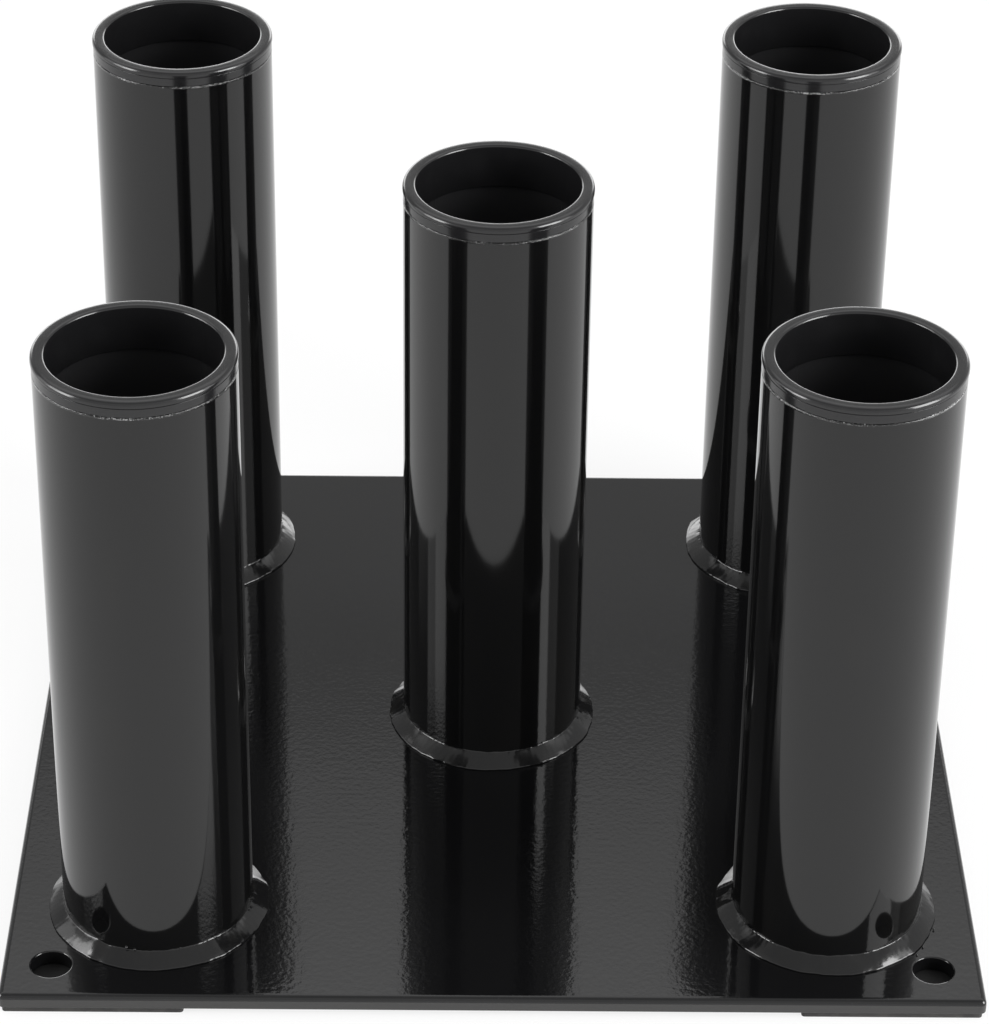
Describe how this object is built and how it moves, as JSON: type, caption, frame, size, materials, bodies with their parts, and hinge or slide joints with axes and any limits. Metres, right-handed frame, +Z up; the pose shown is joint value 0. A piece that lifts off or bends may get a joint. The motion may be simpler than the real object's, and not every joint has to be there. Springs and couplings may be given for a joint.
{
  "type": "vertical barbell rack",
  "caption": "Square steel base plate with upright tube sockets that store barbells on end, each tube lined with a flanged plastic insert, with bolt holes and rubber pads at the corners.",
  "frame": {"origin": "on the floor, under the middle of the base plate", "axes": "+Z up along the tubes, -Y the front, +X to the right seen from the front"},
  "size_m": [0.305, 0.305, 0.2099],
  "materials": {
    "plate_paint": "gloss black paint with a slight orange peel",
    "tube_paint": "gloss black paint",
    "weld_paint": "gloss black paint over an uneven weld bead",
    "insert_plastic": "satin moulded black plastic",
    "pad_rubber": "matt black rubber sheet"
  },
  "bodies": {
    "root": {"base_plate": "plate_paint", "tube_front_left": "tube_paint", "tube_front_right": "tube_paint", "tube_centre": "tube_paint", "tube_rear_left": "tube_paint", "tube_rear_right": "tube_paint", "weld_bead_front_left": "weld_paint", "weld_bead_front_right": "weld_paint", "weld_bead_centre": "weld_paint", "weld_bead_rear_left": "weld_paint", "weld_bead_rear_right": "weld_paint", "tube_insert_front_left": "insert_plastic", "tube_insert_front_right": "insert_plastic", "tube_insert_centre": "insert_plastic", "tube_insert_rear_left": "insert_plastic", "tube_insert_rear_right": "insert_plastic", "foot_pad_front_left": "pad_rubber", "foot_pad_front_right": "pad_rubber", "foot_pad_rear_left": "pad_rubber", "foot_pad_rear_right": "pad_rubber"}
  },
  "joints": []
}
